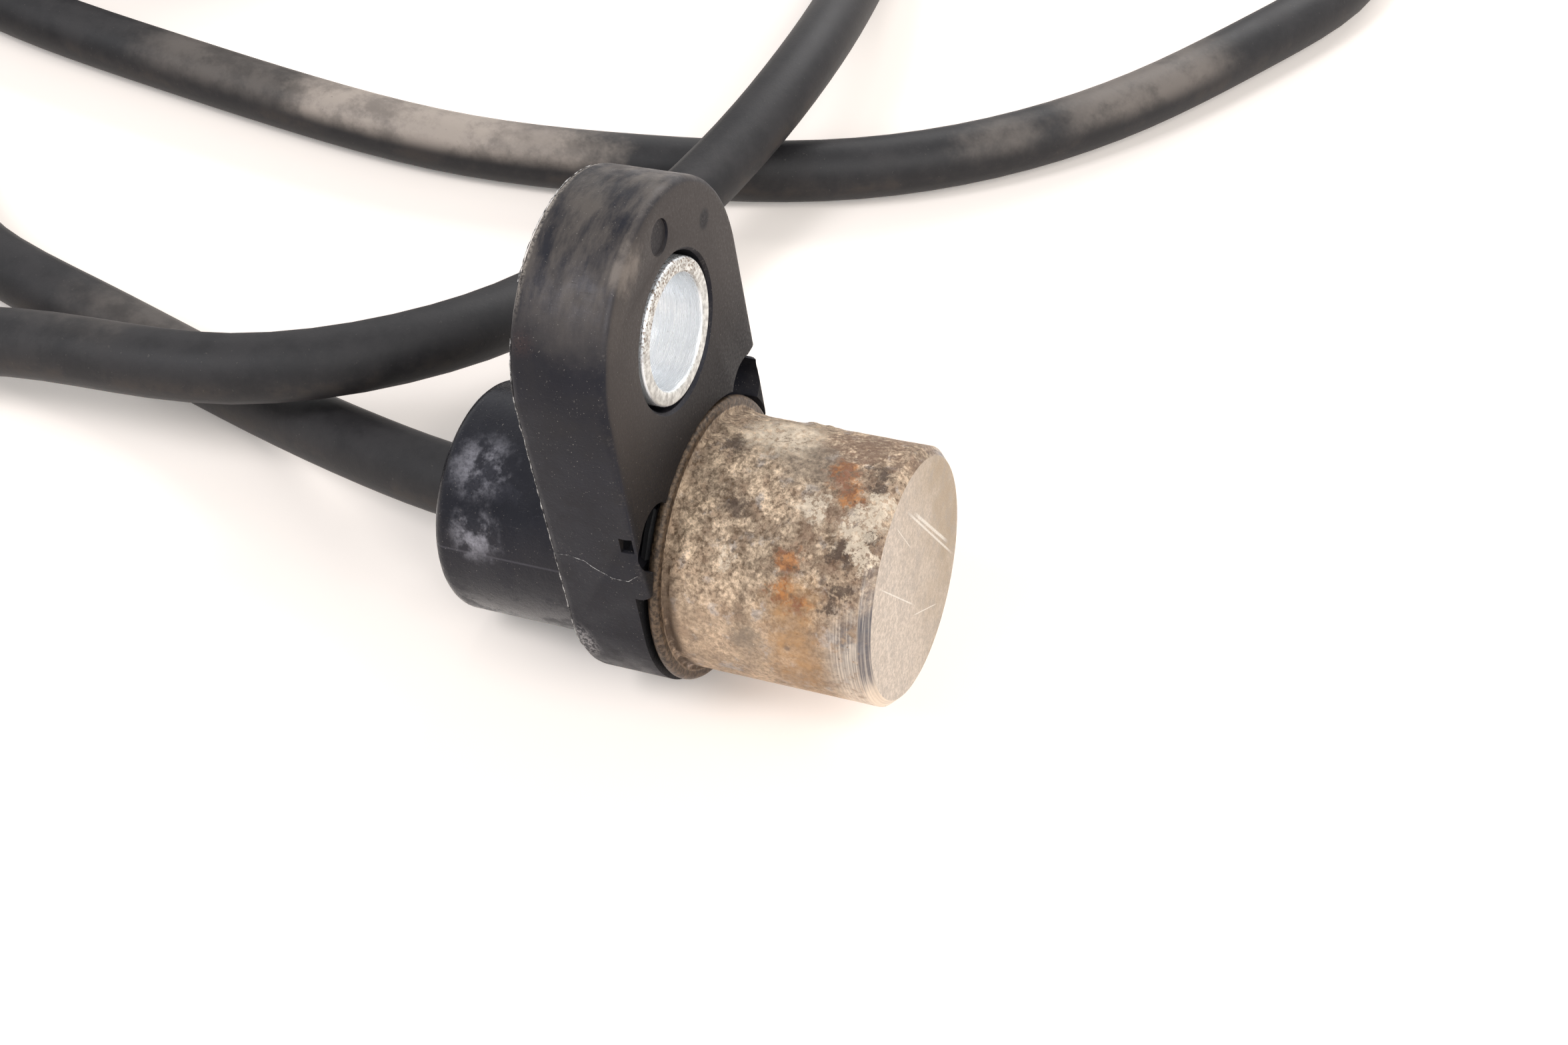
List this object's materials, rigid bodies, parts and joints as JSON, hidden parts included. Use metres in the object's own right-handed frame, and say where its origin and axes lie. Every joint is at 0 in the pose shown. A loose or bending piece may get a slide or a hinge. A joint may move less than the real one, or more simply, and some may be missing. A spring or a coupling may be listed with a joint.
{
  "type": "speed sensor",
  "caption": "Bolt-on speed sensor: a round steel nose on a moulded ear with a steel bolt bush, and a three-core lead from its rear boss to a connector.",
  "frame": {"origin": "On the floor, under the middle of the sensor's own outline, its lead left out.", "axes": "+X: the way the nose points, level. +Y: across the ear. +Z: up, along the ear to its bush. The sensor rests on the rim of its boss and on the foot of its ear, so its nose axis points 9.4 degrees up from +X."},
  "size_m": [0.1415, 0.133, 0.0353],
  "materials": {
    "moulded_nylon": "satin charcoal moulded nylon, dusty and slightly worn",
    "zinc_steel": "zinc-plated steel with turning lines in the bore",
    "can_steel": "corroded steel with brown rust and a tan mineral crust, bare at one side near the end",
    "lead_rubber": "matte black jacket with grey dust",
    "seal_rubber": "plain black seal rubber",
    "lock_plastic": "plain off-white plastic",
    "chip_epoxy": "black epoxy",
    "magnet_nickel": "nickel plating",
    "board_laminate": "green laminate",
    "ceramic": "tan ceramic",
    "potting_resin": "dark amber cast resin",
    "brass": "tinned brass contacts and a crimped brass ferrule",
    "insulation_red": "red wire insulation",
    "insulation_black": "black wire insulation",
    "insulation_white": "white wire insulation"
  },
  "bodies": {
    "root": {"housing": "moulded_nylon", "mounting_bush": "zinc_steel", "nose_can": "can_steel", "can_seal": "seal_rubber", "sensor_carrier": "moulded_nylon", "hall_chip": "chip_epoxy", "bias_magnet": "magnet_nickel", "flux_plate": "zinc_steel", "circuit_board": "board_laminate", "capacitor_1": "ceramic", "capacitor_2": "ceramic", "resistor": "chip_epoxy", "terminal_red": "brass", "terminal_black": "brass", "terminal_white": "brass", "core_red": "insulation_red", "core_black": "insulation_black", "core_white": "insulation_white", "resin_fill": "potting_resin", "lead_ferrule": "brass", "lead_seal": "seal_rubber", "lead_jacket": "lead_rubber", "lead_coil": "lead_rubber", "lead_tail": "lead_rubber", "coil_tie": "moulded_nylon", "lead_sleeve": "seal_rubber", "connector_shell": "moulded_nylon", "connector_grommet": "seal_rubber", "connector_lock": "lock_plastic", "connector_pin_red": "brass", "connector_pin_black": "brass", "connector_pin_white": "brass", "wire_red": "insulation_red", "wire_black": "insulation_black", "wire_white": "insulation_white"}
  },
  "joints": []
}
